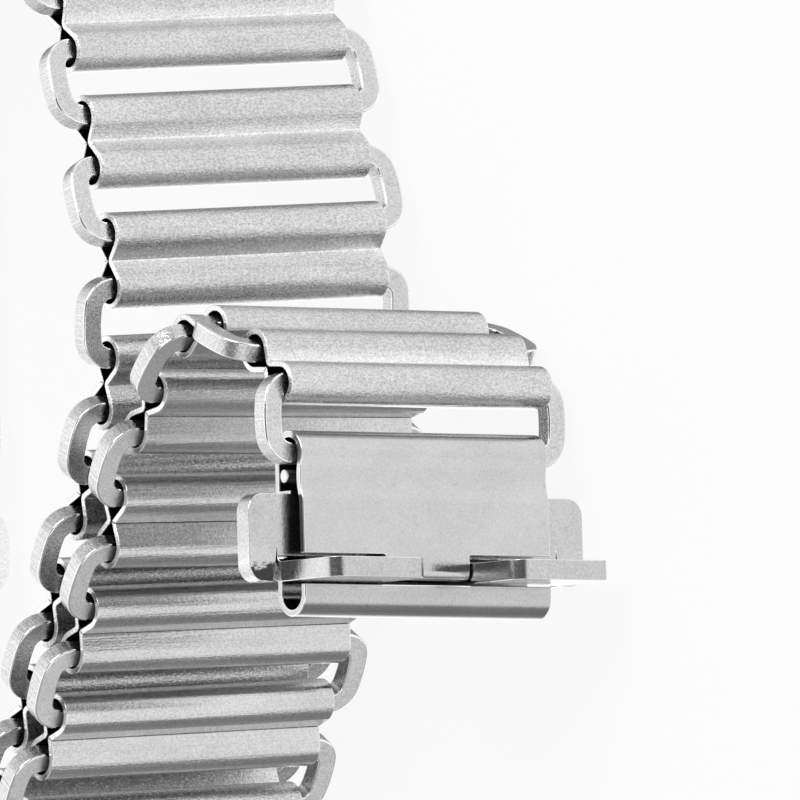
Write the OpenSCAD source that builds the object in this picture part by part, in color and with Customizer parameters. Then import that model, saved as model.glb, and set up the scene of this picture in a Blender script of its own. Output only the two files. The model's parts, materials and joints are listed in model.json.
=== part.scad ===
// Ladder link watch bracelet: double-tube links rolled from sheet, joined at both
// ends by flat side clips, with a folded sheet clasp and a sliding latch plate.
// The band is stored folded. Its tubes stand along +Z, the tail link's open tube is
// centred on the origin, and the band runs from there to the clasp.

/* [Links] */
// Outside diameter of each rolled tube
tube_od = 2.2; // [2:0.05:2.4]
// Thickness of the sheet that the links are rolled from
sheet_t = 0.3; // [0.22:0.02:0.4]
// Distance between the two tube centres of one link
tube_spacing = 2.65; // [2.5:0.05:3]
// Length of the tubes, which is the width of the rungs
rung_len = 16.1; // [14:0.1:22]
// Width of the seam where the two rolled edges meet on the inner side
seam_w = 0.08; // [0.04:0.02:0.2]
// Half angle of each bore's mouth, where it narrows towards the waist
mouth_angle = 40; // [34:1:44]

/* [Side clips] */
// Distance between the tube centres that one side clip joins
clip_pitch = 3.5; // [3.3:0.05:4]
// Thickness of the plate that the side clips are stamped from
clip_t = 0.95; // [0.7:0.05:1.05]
// Reach of a side clip beyond the tube ends
clip_out = 1.7; // [1.4:0.05:2.4]
// Width of the back of a side clip
clip_back_w = 1.1; // [0.8:0.05:1.2]
// Length of each arm inside its tube
arm_len = 2.6; // [1.5:0.1:4]
// Radial clearance between an arm's corners and the bore
arm_clear = 0.11; // [0.05:0.01:0.16]
// Gap between a tube end and the back of a side clip that is pushed home
clip_home_gap = 0.15; // [0.05:0.05:0.3]
// Radius of the outer shoulders of a side clip
shoulder_r = 1.25; // [0.8:0.05:1.35]
// Radius of the corners between the back and the arms
inner_corner_r = 0.4; // [0.1:0.05:0.5]
// Radius of the bowed back edge
bow_r = 7; // [5:0.5:20]

/* [Clasp] */
// Thickness of the folded clasp sheet
clasp_sheet_t = 0.35; // [0.25:0.05:0.45]
// Width of the clasp across the band
clasp_w = 15.2; // [13.6:0.1:15.8]
// Length of the clasp from the curl's centre to the lowest point of the roll
clasp_len = 8.1; // [7.8:0.05:10]
// Length from the curl's centre to the claws' lower face
claw_low = 6.4; // [6.2:0.05:6.7]
// Width of the middle tongue between the two notches
tongue_w = 5.2; // [4:0.1:7]
// Radius of the tongue's inward bend
tongue_bend_r = 0.7; // [0.5:0.05:0.9]
// Distance that the tongue's bent end reaches past the front wall's inner face
tongue_reach = 0.8; // [0.7:0.05:0.95]
// Depth of the front wall's shallow waist below the curl
waist_depth = 0.18; // [0.12:0.01:0.25]
// Radius of the waist
waist_r = 3; // [2:0.1:3.8]
// Radius of the shoulder between the waist and the front wall
waist_shoulder_r = 1; // [0.6:0.05:1.1]
// Diameter of the cross pin soldered to the back wall below the curl
cross_pin_d = 0.7; // [0.5:0.05:0.8]
// Solder gap between the cross pin and the back wall
pin_gap = 0.03; // [0.01:0.01:0.06]

/* [Latch] */
// Thickness of the latch plate and of its claws
latch_t = 1.0; // [0.7:0.05:1.1]
// Reach of each ear beyond the clasp's side
ear_out = 2.7; // [2:0.1:5]
// Length of the ears along the band
ear_len = 4.4; // [3.6:0.1:4.6]
// Step from the plate's upper edge down to the ears' upper edges
ear_drop = 0.15; // [0.05:0.05:0.3]
// Radius of the ears' corners
ear_r = 0.9; // [0.3:0.1:1.5]
// Reach of the claws beyond the clasp's front face
claw_reach = 3.85; // [2.5:0.1:5]
// Reach of the claws beyond the clasp's sides
claw_out = 1; // [0.2:0.1:1.4]
// Outer radius of the bend between the plate and a claw
claw_bend_r = 1.3; // [1.15:0.05:1.6]
// Radius of the claws' front corners
claw_r = 0.9; // [0.3:0.1:1.5]
// Free travel of the latch plate towards the cross pin
latch_travel = 0.3; // [0.1:0.05:0.4]
// Gap left between the latch plate and each stop
stop_gap = 0.1; // [0.05:0.01:0.15]
// Gap between the latch plate and the clasp's back wall
latch_back_gap = 0.05; // [0.03:0.01:0.1]

/* [Stored pose] */
// Heading of the tail link, clockwise from +Y
tail_heading = -10; // [-30:1:10]
// Gap between the two strands that lie face to face
strand_gap = 0.2; // [0.15:0.05:0.6]
// Angle between the two strands at the fold, where 180 would lay them side by side
fold_angle = 177; // [174:1:180]
// Sideways turn that the hinges before the clasp take up in their play
sway_angle = 0.6; // [0:0.05:0.8]

/* [Hidden] */
$fn = 64;
eps = 0.01;
margin = 1;
link_count = 27;
bore_r = tube_od / 2 - sheet_t;

// The first links of the two strands lie a tube's diameter and a gap apart, which takes
// this lean of the side clips on either side of the fold link.
fold_lean = asin((tube_od + strand_gap - tube_spacing) / (2 * clip_pitch));

// Runs of hinges from the tail to the clasp, each with its number of hinges and the
// clockwise turn at each one.
stored_turns = [
    [10, 1],                                // far side
    [6, 12.5],                              // bend over the top
    [2, 2],
    [6, 12.5],
    [2, -1],
    [2, 5],                                 // near side, upper strand
    [1, -6],
    [1, 19],
    [1, 7],
    [1, 10],
    [1, 9],
    [1, 3],
    [1, 1],
    [1, 0],
    [1, 1],
    [1, 0],
    [1, -fold_lean],                        // fold
    [2, -(fold_angle / 2 - fold_lean)],
    [1, -fold_lean],
    [1, -4],                                // near side, returning strand
    [1, 4],
    [1, 0],
    [1, -17],
    [1, 13],
    [1, 11],
    [1, 2],
    [1, 38],                                // over the crest to the clasp
    [1, 29],
    [1, 18],
    [1, 49],
    [1, 0]
];
hinge_turn = [for (run = stored_turns) for (n = [1:run[0]]) run[1]];
hinge_count = len(hinge_turn);
sway_first = 43;
sway_last = 50;

function rot_z(a) = [[cos(a), -sin(a), 0], [sin(a), cos(a), 0], [0, 0, 1]];
function rot_y(a) = [[cos(a), 0, sin(a)], [0, 1, 0], [-sin(a), 0, cos(a)]];
function hinge_sway(k) = rot_y(k >= sway_first && k <= sway_last ? sway_angle : 0);

// A side clip leans in the bore of the link before it, and a link on the side clips
// before it, so that each hinge turns about the axis of a bore.
function hinge_step(k) = k % 2 == 0
    ? rot_z(-hinge_turn[k]) * hinge_sway(k)
    : hinge_sway(k) * rot_z(-hinge_turn[k]);
function body_len(k) = k % 2 == 0 ? tube_spacing : clip_pitch;

// Attitude of each body along the band: link, side clips, link, and so on to the clasp.
attitude = [
    for (k = 0, m = rot_z(90 - tail_heading); k <= hinge_count;
         m = k < hinge_count ? m * hinge_step(k) : m, k = k + 1) m
];

// Point where each body begins, which is a tube centre and lies on a hinge axis.
pivot = [
    for (k = 0, p = [0, 0, 0]; k <= hinge_count;
         p = p + attitude[k] * [body_len(k), 0, 0], k = k + 1) p
];

// Link sizes at the waist, where the straight walls of the two tubes meet.
waist_half = tube_spacing / 2;
wall_angle = asin(bore_r / waist_half);
crease_half = sheet_t / cos(wall_angle);

// Side clip sizes that follow from the bore.
arm_half = sqrt(pow(bore_r - arm_clear, 2) - pow(clip_t / 2, 2));
clip_half = clip_pitch / 2 + arm_half;
clip_inner_half = clip_pitch / 2 - arm_half;
clip_home_w = rung_len - 2 * (clip_out - clip_back_w - clip_home_gap);

// Clasp sizes across the sheet, measured from its middle plane. The back wall runs
// straight off the curl, and the front wall has a shallow waist below it. The cross pin
// closes the curl's bore from below.
cavity_half = bore_r;
clasp_half = cavity_half + clasp_sheet_t;
latch_y = latch_back_gap + latch_t / 2 - cavity_half;
cross_pin_y = pin_gap + cross_pin_d / 2 - cavity_half;
cross_pin_x = sqrt(pow(bore_r + pin_gap + cross_pin_d / 2, 2) - pow(cross_pin_y, 2));
waist_y = clasp_half - waist_depth + waist_r;
waist_x = sqrt(pow(clasp_half + waist_r, 2) - pow(waist_y, 2));
wall_y = clasp_half - waist_shoulder_r;
wall_x = waist_x + sqrt(pow(waist_r + waist_shoulder_r, 2) - pow(waist_y - wall_y, 2));

// Clasp and latch sizes along the band, measured from the curl's centre.
roll_at = clasp_len - clasp_half;
latch_top = cross_pin_x + cross_pin_d / 2 + latch_travel + stop_gap;
ear_top = latch_top + ear_drop;
claw_top = claw_low - latch_t;
notch_top = claw_top - latch_travel - stop_gap;
lip_top = claw_low + stop_gap;
tongue_end = lip_top - seam_w;
latch_mid_low = tongue_end - clasp_sheet_t - stop_gap;
claw_in = tongue_w / 2 + stop_gap;
claw_w = clasp_w / 2 + claw_out - claw_in;
claw_tip = clasp_half + claw_reach - latch_y;

function two_digits(i) = str(i < 10 ? "0" : "", i);
function link_name(i) = str("link_", two_digits(i));
function clips_name(i) = str("side_clips_", two_digits(i));

// Puts a body in its stored place: its own X runs along the band, its Y faces out.
module lay(k) {
    translate(pivot[k])
        multmatrix([for (row = attitude[k]) concat(row, 0)])
            children();
}

// Draws an outline of the band's length (X) against its width (Y) as a flat plate.
module plate(thickness) {
    rotate([90, 0, 0])
        linear_extrude(height = thickness, center = true)
            children();
}

// The straight walls between the two tubes, which run in to a crease at the waist.
module link_waist() {
    x = waist_half - tube_od / 2 * sin(wall_angle);
    y = tube_od / 2 * cos(wall_angle);
    polygon([[x, y], [0, crease_half], [-x, y], [-x, -y], [0, -crease_half], [x, -y]]);
}

// The mouth of a bore, which narrows to a point at the waist.
module bore_mouth() {
    x = waist_half - bore_r * cos(mouth_angle);
    y = bore_r * sin(mouth_angle);
    polygon([[0, 0], [x, y], [waist_half, 0], [x, -y]]);
}

// One link: a strip with both long edges rolled inwards until they meet at the waist.
module link() {
    linear_extrude(height = rung_len, center = true)
        translate([waist_half, 0])
            difference() {
                union() {
                    link_waist();
                    for (side = [-1, 1])
                        translate([side * waist_half, 0]) circle(d = tube_od);
                }
                for (side = [-1, 1])
                    translate([side * waist_half, 0]) circle(r = bore_r);
                for (end = [0, 1])
                    mirror([end, 0]) bore_mouth();
                translate([-seam_w / 2, -crease_half - eps])
                    square([seam_w, crease_half + 2 * eps]);
            }
}

// Outline of the upper side clip, from the middle of its two pivots and a tube end.
module clip_outline() {
    difference() {
        intersection() {
            union() {
                translate([-clip_half, -arm_len])
                    square([2 * clip_half, arm_len + clip_out - shoulder_r]);
                translate([-clip_half + shoulder_r, 0])
                    square([2 * (clip_half - shoulder_r), clip_out]);
                for (side = [-1, 1])
                    translate([side * (clip_half - shoulder_r), clip_out - shoulder_r])
                        circle(r = shoulder_r);
            }
            translate([0, clip_out - bow_r]) circle(r = bow_r, $fn = 128);
        }
        translate([-clip_inner_half, -arm_len - eps])
            square([2 * clip_inner_half,
                    arm_len + eps + clip_out - clip_back_w - inner_corner_r]);
        translate([-clip_inner_half + inner_corner_r, -eps])
            square([2 * (clip_inner_half - inner_corner_r),
                    eps + clip_out - clip_back_w]);
        for (side = [-1, 1])
            translate([side * (clip_inner_half - inner_corner_r),
                       clip_out - clip_back_w - inner_corner_r])
                circle(r = inner_corner_r);
    }
}

// The two side clips of one joint, one at each end of the tubes. Those that hold the
// clasp are pushed home, because it is narrower than the links.
module side_clips(width) {
    for (end = [0, 1])
        mirror([0, 0, end])
            translate([clip_pitch / 2, 0, width / 2])
                plate(clip_t) clip_outline();
}

// Outline of one face of the clasp sheet across the band: curl, shallow waist, front
// wall's shoulder, straight walls and roll.
module clasp_face(half, shoulder, waist) {
    difference() {
        union() {
            circle(r = half);
            polygon([[0, 0], [0, -half], [wall_x, -half], [wall_x, wall_y],
                     [waist_x, waist_y]]);
            translate([wall_x, wall_y]) circle(r = shoulder);
            translate([wall_x, -half]) square([roll_at - wall_x, 2 * half]);
            translate([roll_at, 0]) circle(r = half);
        }
        translate([waist_x, waist_y]) circle(r = waist);
    }
}

// The tongue's end, bent inwards under the middle of the latch plate.
module tongue_bend() {
    bend_x = tongue_end - tongue_bend_r;
    bend_y = clasp_half - tongue_bend_r;
    intersection() {
        translate([bend_x, bend_y])
            difference() {
                circle(r = tongue_bend_r);
                circle(r = tongue_bend_r - clasp_sheet_t);
            }
        translate([bend_x, bend_y]) square(tongue_bend_r);
    }
    translate([tongue_end - clasp_sheet_t, cavity_half - tongue_reach])
        square([clasp_sheet_t, bend_y - cavity_half + tongue_reach + eps]);
}

// Clasp body: one sheet that runs from the tongue up the front, round the curl, down
// the back and round the roll to the lip below the claws.
module clasp_body() {
    side_w = clasp_w / 2 - tongue_w / 2;
    difference() {
        linear_extrude(height = clasp_w, center = true)
            difference() {
                clasp_face(clasp_half, waist_shoulder_r, waist_r);
                clasp_face(cavity_half, waist_shoulder_r - clasp_sheet_t,
                           waist_r + clasp_sheet_t);
            }
        for (end = [0, 1])
            mirror([0, 0, end])
                translate([notch_top, 0, tongue_w / 2])
                    cube([lip_top - notch_top, clasp_half + margin, side_w + margin]);
        translate([tongue_end - tongue_bend_r, 0, -tongue_w / 2 - eps])
            cube([lip_top - tongue_end + tongue_bend_r, clasp_half + margin,
                  tongue_w + 2 * eps]);
    }
    linear_extrude(height = tongue_w, center = true) tongue_bend();
}

// Cross pin along the back wall, which closes the curl and stops the latch plate.
module cross_pin() {
    translate([cross_pin_x, cross_pin_y, 0])
        cylinder(d = cross_pin_d, h = clasp_w, center = true);
}

// Outline of the latch plate with an ear at each side.
module latch_outline() {
    plate_half = clasp_w / 2 + stop_gap;
    ear_in = plate_half + claw_out;
    half = clasp_w / 2 + ear_out;
    ear_low = ear_top + ear_len;
    bend_top = claw_low - claw_bend_r;
    translate([latch_top, -plate_half - eps])
        square([bend_top - latch_top, 2 * (plate_half + eps)]);
    for (end = [0, 1])
        mirror([0, end]) {
            translate([ear_top, plate_half])
                square([bend_top - ear_top, ear_in + eps - plate_half]);
            translate([ear_top, ear_in])
                square([ear_len, half - ear_r - ear_in]);
            translate([ear_top + ear_r, ear_in])
                square([ear_len - 2 * ear_r, half - ear_in]);
            for (x = [ear_top + ear_r, ear_low - ear_r])
                translate([x, half - ear_r]) circle(r = ear_r);
        }
    translate([bend_top - eps, -claw_in])
        square([latch_mid_low - bend_top + eps, 2 * claw_in]);
}

// Section of a claw: the plate's lower edge bent outwards through a notch.
module claw_section() {
    bend_x = claw_low - claw_bend_r;
    bend_y = claw_bend_r - latch_t / 2;
    intersection() {
        translate([bend_x, bend_y])
            difference() {
                circle(r = claw_bend_r);
                circle(r = claw_bend_r - latch_t);
            }
        translate([bend_x, bend_y - claw_bend_r]) square(claw_bend_r);
    }
    translate([bend_x - eps, -latch_t / 2]) square([2 * eps, latch_t]);
    translate([claw_top, bend_y - eps]) square([latch_t, claw_tip - bend_y + eps]);
}

// Outline of a claw seen along the band, with its two front corners rounded.
module claw_outline() {
    translate([-latch_t, 0]) square([claw_tip + latch_t - claw_r, claw_w]);
    translate([-latch_t, claw_r]) square([claw_tip + latch_t, claw_w - 2 * claw_r]);
    for (y = [claw_r, claw_w - claw_r])
        translate([claw_tip - claw_r, y]) circle(r = claw_r);
}

// Latch plate: slides in the clasp, with two ears to grip it by and two claws that
// catch in the gaps of the band's other end.
module latch_plate() {
    translate([0, latch_y, 0]) plate(latch_t) latch_outline();
    for (end = [0, 1])
        mirror([0, 0, end])
            translate([0, latch_y, claw_in])
                intersection() {
                    linear_extrude(height = claw_w) claw_section();
                    translate([claw_low + margin, 0, 0])
                        rotate([0, -90, 0])
                            linear_extrude(height = claw_bend_r + 2 * margin)
                                rotate([0, 0, 90]) mirror([0, 1, 0]) claw_outline();
                }
}

for (i = [1:link_count]) {
    color("silver") lay(2 * i - 2) link();
    color("gainsboro") lay(2 * i - 1)
            side_clips(i == link_count ? max(clasp_w, clip_home_w) : rung_len);
}
color("lightgray") lay(hinge_count) clasp_body();
color("whitesmoke") lay(hinge_count) cross_pin();
color("darkgray") lay(hinge_count) latch_plate();
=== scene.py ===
# %% [markdown]
# # A steel ladder bracelet, one piece at a time
# The real object is a watch band made of short rungs. Each rung is a strip of steel
# rolled into two open tubes, and flat U clips join the rungs at both ends. A folded
# sheet clasp closes the band with two claws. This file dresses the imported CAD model,
# so every piece is built in metres, where the CAD has it.

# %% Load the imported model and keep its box
import bpy
import bmesh
import json
import math
from mathutils import Matrix, Vector

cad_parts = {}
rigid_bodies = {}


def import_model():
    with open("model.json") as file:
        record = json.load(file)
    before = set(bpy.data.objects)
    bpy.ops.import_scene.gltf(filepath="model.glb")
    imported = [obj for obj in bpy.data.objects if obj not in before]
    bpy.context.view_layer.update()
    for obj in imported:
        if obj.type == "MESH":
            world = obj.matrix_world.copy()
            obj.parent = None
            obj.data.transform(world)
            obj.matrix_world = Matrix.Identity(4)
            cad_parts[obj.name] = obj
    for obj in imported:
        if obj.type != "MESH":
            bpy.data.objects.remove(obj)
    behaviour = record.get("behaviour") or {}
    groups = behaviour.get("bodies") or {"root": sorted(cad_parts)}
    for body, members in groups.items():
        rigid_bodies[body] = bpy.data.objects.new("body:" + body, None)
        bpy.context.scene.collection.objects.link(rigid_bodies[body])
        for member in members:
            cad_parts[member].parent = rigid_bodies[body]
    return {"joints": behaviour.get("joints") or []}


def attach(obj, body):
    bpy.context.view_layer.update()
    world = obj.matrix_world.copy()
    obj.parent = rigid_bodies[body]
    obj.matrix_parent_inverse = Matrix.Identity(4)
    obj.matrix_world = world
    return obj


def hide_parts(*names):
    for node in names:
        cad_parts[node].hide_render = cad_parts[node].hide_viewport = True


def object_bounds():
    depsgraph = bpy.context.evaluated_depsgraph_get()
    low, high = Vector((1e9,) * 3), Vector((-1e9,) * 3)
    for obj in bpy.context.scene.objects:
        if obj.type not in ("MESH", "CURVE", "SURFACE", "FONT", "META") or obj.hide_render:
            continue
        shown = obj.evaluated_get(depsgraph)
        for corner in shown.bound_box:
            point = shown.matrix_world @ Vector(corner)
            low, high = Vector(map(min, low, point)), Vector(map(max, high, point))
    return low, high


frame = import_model()
cad_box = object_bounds()
MM = 0.001
scene = bpy.context.scene
print("CAD box", cad_box)

# %% [markdown]
# The sizes are those that the real pieces were measured at, in millimetres, with the
# names a maker would give them. Each one is written once and used everywhere. They
# could be read off the CAD mesh, but a written size can be checked and changed.

# %% Sizes of the real pieces
TUBE_OD = 2.2
SHEET = 0.3
TUBE_SPACING = 2.65
RUNG_LEN = 16.1
SEAM = 0.08
CLIP_PITCH = 3.5
CLIP_PLATE = 0.95
CLIP_BAR = 1.06
CLIP_BACK = 1.1
CLIP_OUT = 1.7
CLIP_ARM = 2.6
CLIP_HOME_GAP = 0.15
CLIP_CORNER = 0.85
CLIP_BOW = 7.0
CLASP_SHEET = 0.35
CLASP_W = 15.2
CLASP_LEN = 8.1
CLAW_LOW = 6.4
TONGUE = 5.2
TONGUE_BEND = 0.7
TONGUE_REACH = 0.8
WAIST_DEPTH = 0.18
WAIST_R = 3.0
WAIST_SHOULDER = 1.0
PIN_D = 0.7
PIN_GAP = 0.03
LATCH = 1.0
EAR_OUT = 2.7
EAR_LEN = 4.4
EAR_DROP = 0.15
EAR_R = 0.9
CLAW_REACH = 3.85
CLAW_OUT = 1.0
CLAW_BEND = 1.3
CLAW_R = 0.9
TRAVEL = 0.3
STOP = 0.1
BACK_GAP = 0.05
BORE = TUBE_OD / 2 - SHEET
HALF_RUNG = RUNG_LEN / 2
HALF_CLASP = CLASP_W / 2
print("bore radius", round(BORE, 3), "mm")

# %% [markdown]
# The band is a chain, so its places come from the frame's hinges. Each body starts at
# the hinge before it, and its X axis runs to the next one. A link's Z axis is its
# tube's axis. A clip's plate has its Y axis square to the tube that it hangs in.

# %% Work out where each body of the band stands
hinge_after = {j["parent"]: j for j in frame["joints"] if j["type"] == "hinge"}
slide = next(j for j in frame["joints"] if j["type"] == "slide")
chain = ["link_01"]
while chain[-1] in hinge_after:
    chain.append(hinge_after[chain[-1]]["child"])
pivots = [Vector((0, 0, 0))]
pivots += [Vector(hinge_after[body]["pos_m"]) for body in chain[:-1]]


def placed(x, y, z, origin):
    """The matrix that carries a piece from its own axes to its place."""
    turn = Matrix((x, y, z)).transposed().to_4x4()
    return Matrix.Translation(origin) @ turn


place = {}
tube_axis = Vector((0, 0, 1))
for k, body in enumerate(chain):
    if k + 1 < len(chain):
        along = (pivots[k + 1] - pivots[k]).normalized()
    else:
        along = -Vector(slide["axis"]).normalized()
    if k > 0 and k % 2 == 0:
        tube_axis = Vector(hinge_after[chain[k - 1]]["axis"]).normalized()
    out = tube_axis.cross(along).normalized()
    place[body] = placed(along, out, along.cross(out), pivots[k])
print(len(chain), "bodies in the chain, from", chain[0], "to", chain[-1])

# %% [markdown]
# The camera comes before the pieces. The photograph was taken with a long lens from the
# front left, above the rungs' left ends, with the band's Y axis upwards in the picture.
# The camera's three axes are worked out from those two angles and a small roll.

# %% Place the camera
CAMERA_AZIMUTH = 33.637
CAMERA_HEIGHT = 4.735
CAMERA_ROLL = 0.352
CAMERA_FAR = 1.6
VIEW_WIDTH = 0.04
LOOK_AT = Vector((0.036, 0.014, 0))
LOOK_RIGHT = 0.007916
LOOK_UP = 0.001045
SENSOR = 36
NEAREST_SEEN = 0.05


def make_camera():
    """A camera far off, square to the line from the band to it."""
    az, height, roll = (math.radians(v) for v in
                        (CAMERA_AZIMUTH, CAMERA_HEIGHT, CAMERA_ROLL))
    back = Vector((math.cos(height) * math.cos(az), math.sin(height),
                   math.cos(height) * math.sin(az)))
    right = Vector((math.sin(az), 0, -math.cos(az)))
    up = back.cross(right)
    right, up = (math.cos(roll) * right + math.sin(roll) * up,
                 math.cos(roll) * up - math.sin(roll) * right)
    target = LOOK_AT + LOOK_RIGHT * right + LOOK_UP * up
    data = bpy.data.cameras.new("camera")
    data.sensor_width = SENSOR
    data.lens = data.sensor_width * CAMERA_FAR / VIEW_WIDTH
    data.clip_start = NEAREST_SEEN
    camera = bpy.data.objects.new("camera", data)
    camera.matrix_world = placed(right, up, back, target + CAMERA_FAR * back)
    scene.collection.objects.link(camera)
    return camera


scene.camera = make_camera()
print("camera at", [round(v, 3) for v in scene.camera.location])

# %% [markdown]
# ## Finishes
# Every finish is a node tree on a Principled shader. The trees could be drawn in the
# editor, but a script can be read and run again. A few small helpers keep it short: one
# adds a node and fills its sockets, and one makes a noise that can be stretched, which
# is what turns grains into streaks.

# %% Helpers for node trees
def add_node(tree, kind, inputs=None, **settings):
    node = tree.nodes.new(kind)
    for name, value in settings.items():
        setattr(node, name, value)
    for name, value in (inputs or {}).items():
        if isinstance(value, bpy.types.NodeSocket):
            tree.links.new(value, node.inputs[name])
        else:
            node.inputs[name].default_value = value
    return node


def new_finish(name):
    finish = bpy.data.materials.new(name)
    finish.use_nodes = True
    tree = finish.node_tree
    tree.nodes.clear()
    shader = add_node(tree, "ShaderNodeBsdfPrincipled")
    output = add_node(tree, "ShaderNodeOutputMaterial")
    tree.links.new(shader.outputs["BSDF"], output.inputs["Surface"])
    return finish, tree, shader


def grain(tree, stretch, scale, detail=3.0, rough=0.55):
    """Noise on Object coordinates, in grains per metre, stretched along the axes."""
    coords = add_node(tree, "ShaderNodeTexCoord")
    mapping = add_node(tree, "ShaderNodeMapping",
                       {"Vector": coords.outputs["Object"], "Scale": stretch})
    noise = add_node(tree, "ShaderNodeTexNoise",
                     {"Vector": mapping.outputs["Vector"], "Scale": scale,
                      "Detail": detail, "Roughness": rough})
    return noise.outputs["Fac"]


def spread(tree, value, low, high, to_low, to_high):
    node = add_node(tree, "ShaderNodeMapRange",
                    {"Value": value, "From Min": low, "From Max": high,
                     "To Min": to_low, "To Max": to_high})
    return node.outputs["Result"]


print("grains are counted per metre")

# %% [markdown]
# A finish also needs sums on its noises, marks that the mesh carries, and greys, because
# every tone of bare steel is a grey. A noise seldom leaves the middle of its range, so
# swing carries that middle to two values.

# %% Helpers for tones and bumps
MICRON = 0.000001
NOISE_LOW, NOISE_HIGH = 0.3, 0.7


def swing(tree, noise, low, high):
    """Carries the usual range of a noise to two values."""
    return spread(tree, noise, NOISE_LOW, NOISE_HIGH, low, high)


def sums(tree, operation, a, b):
    node = add_node(tree, "ShaderNodeMath", operation=operation)
    for slot_number, value in enumerate((a, b)):
        if isinstance(value, bpy.types.NodeSocket):
            tree.links.new(value, node.inputs[slot_number])
        else:
            node.inputs[slot_number].default_value = value
    return node.outputs["Value"]


def marked_by(tree, name):
    """The value of an attribute that the mesh carries."""
    return add_node(tree, "ShaderNodeAttribute", attribute_name=name).outputs["Fac"]


def grey_of(tree, value):
    node = add_node(tree, "ShaderNodeCombineColor",
                    {"Red": value, "Green": value, "Blue": value})
    return node.outputs["Color"]


def bumped(tree, height, strength, distance, normal=None):
    """The normal that a height gives, on top of another one where there is one."""
    inputs = {"Height": height, "Strength": strength, "Distance": distance}
    if normal is not None:
        inputs["Normal"] = normal
    return add_node(tree, "ShaderNodeBump", inputs).outputs["Normal"]


print("a noise is read from", NOISE_LOW, "to", NOISE_HIGH)

# %% [markdown]
# The rungs are satin: rolled strip carries fine streaks along the tube, with sandy
# specks between them. Streaks come from noise that is stretched about thirty times
# along Z, the tubes' direction, and the specks from one that is hardly stretched. Four
# marks on the mesh say where the finish changes. The tubes' end rims are painted
# brighter as a painted highlight (across), a painted highlight runs along the crease
# (crease), the strip's inner face is painted dark as painted shade in the bores
# (inside), and the side that lies against the wrist is smoother and more streaked than
# the front (back). Marks could be painted by hand, but a rule on each vertex's place is
# exact and can be read.

# %% The rungs' satin finish
STREAKED = (1, 1, 0.03)
SANDY = (1, 1, 0.75)
PATCHY = (1, 1, 0.4)
FINE, BROAD, PATCHES = 9000, 2200, 500
TUBE_END_FROM, TUBE_END_TO = 0.985, 0.995
TUBE_END_PAINTED_HIGHLIGHT = 0.15
CREASE_PAINTED_HIGHLIGHT = 0.22
INSIDE_PAINTED_SHADE = 0.22
BACK_SMOOTH = 0.5


def satin_rung_finish():
    finish, tree, shader = new_finish("satin_rung_steel")
    streak = grain(tree, STREAKED, FINE, 4)
    long_band = grain(tree, STREAKED, BROAD, 3)
    speck = grain(tree, SANDY, FINE, 2, 0.75)
    patch = grain(tree, PATCHY, PATCHES, 3)
    back = marked_by(tree, "back")
    sandy = sums(tree, "SUBTRACT", 1.0, sums(tree, "MULTIPLY", back, BACK_SMOOTH))
    # Painted highlight: the tubes' end rims and the crease are painted brighter.
    ends = sums(tree, "ABSOLUTE", marked_by(tree, "across"), 0.0)
    rim_highlight = spread(tree, ends, TUBE_END_FROM, TUBE_END_TO, 0.0, 1.0)
    painted_highlight = sums(tree, "MAXIMUM", sums(tree, "MULTIPLY", rim_highlight, TUBE_END_PAINTED_HIGHLIGHT),
                 sums(tree, "MULTIPLY", marked_by(tree, "crease"), CREASE_PAINTED_HIGHLIGHT))

    tone = sums(tree, "MULTIPLY", sandy, spread(tree, speck, 0.32, 0.68, -0.17, 0.17))
    tone = sums(tree, "ADD", tone, swing(tree, streak, -0.03, 0.03))
    tone = sums(tree, "ADD", tone, swing(tree, patch, 0.54, 0.63))
    tone = sums(tree, "ADD", tone, painted_highlight)
    # Painted shade: the strip's inner face is painted dark, for the shade in the bores.
    darkening = spread(tree, marked_by(tree, "inside"), 0.5, 1.0, 1.0, INSIDE_PAINTED_SHADE)
    tone = sums(tree, "MULTIPLY", tone, darkening)
    tree.links.new(grey_of(tree, tone), shader.inputs["Base Color"])

    rough = sums(tree, "MULTIPLY", sandy, swing(tree, speck, 0.06, 0.18))
    rough = sums(tree, "ADD", rough, swing(tree, long_band, 0.06, 0.14))
    tree.links.new(rough, shader.inputs["Roughness"])

    normal = bumped(tree, streak, 0.5, 14 * MICRON)
    normal = bumped(tree, sums(tree, "MULTIPLY", long_band, back), 1.0, 40 * MICRON,
                    normal)
    normal = bumped(tree, sums(tree, "MULTIPLY", speck, sandy), 0.8, 36 * MICRON,
                    normal)
    tree.links.new(normal, shader.inputs["Normal"])
    shader.inputs["Metallic"].default_value = 1.0
    return finish


rung_finish = satin_rung_finish()
print("finish", rung_finish.name)


# %% [markdown]
# The clips were tumbled with stones after stamping, so their faces are matt with a
# sandy grain, while their rims keep faint lines from the shear. One plate face of each
# clip is painted paler, as painted light. The clasp and the latch are the same steel
# with a finer grain and broad, faint clouds. The clasp's roll is darker, and the claws'
# bends are dented and rubbed smooth by use and painted paler as a painted sheen. One
# function makes all of them, because they differ only in their numbers and in the marks
# that they read. Worn edges and polished edges are finishes of their own, paler than
# the faces as a painted highlight along the edges.

# %% The tumbled and matt finishes
EVEN = (1, 1, 1)
PIT_SHARE = 0.35
PIT_FROM, PIT_TO, PIT_DARK = 0.62, 0.75, 0.06
CLOUDS, CLOUD_SWING = 350, 0.03
SHEAR_LINES, SHEAR_SLANT = 9000, 0.2
RIM_FROM, RIM_TO = 0.8, 0.9
RIM_STREAK = 0.08
BACK_PAINTED_LIGHT, BACK_MATT = 0.26, 0.2
ROLL_DARKER = 0.86
RUB_PAINTED_SHEEN = 0.1
RUBBED_SHINE = 0.35
DENTS, DENT_DEPTH = 1500, 80 * MICRON


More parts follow.
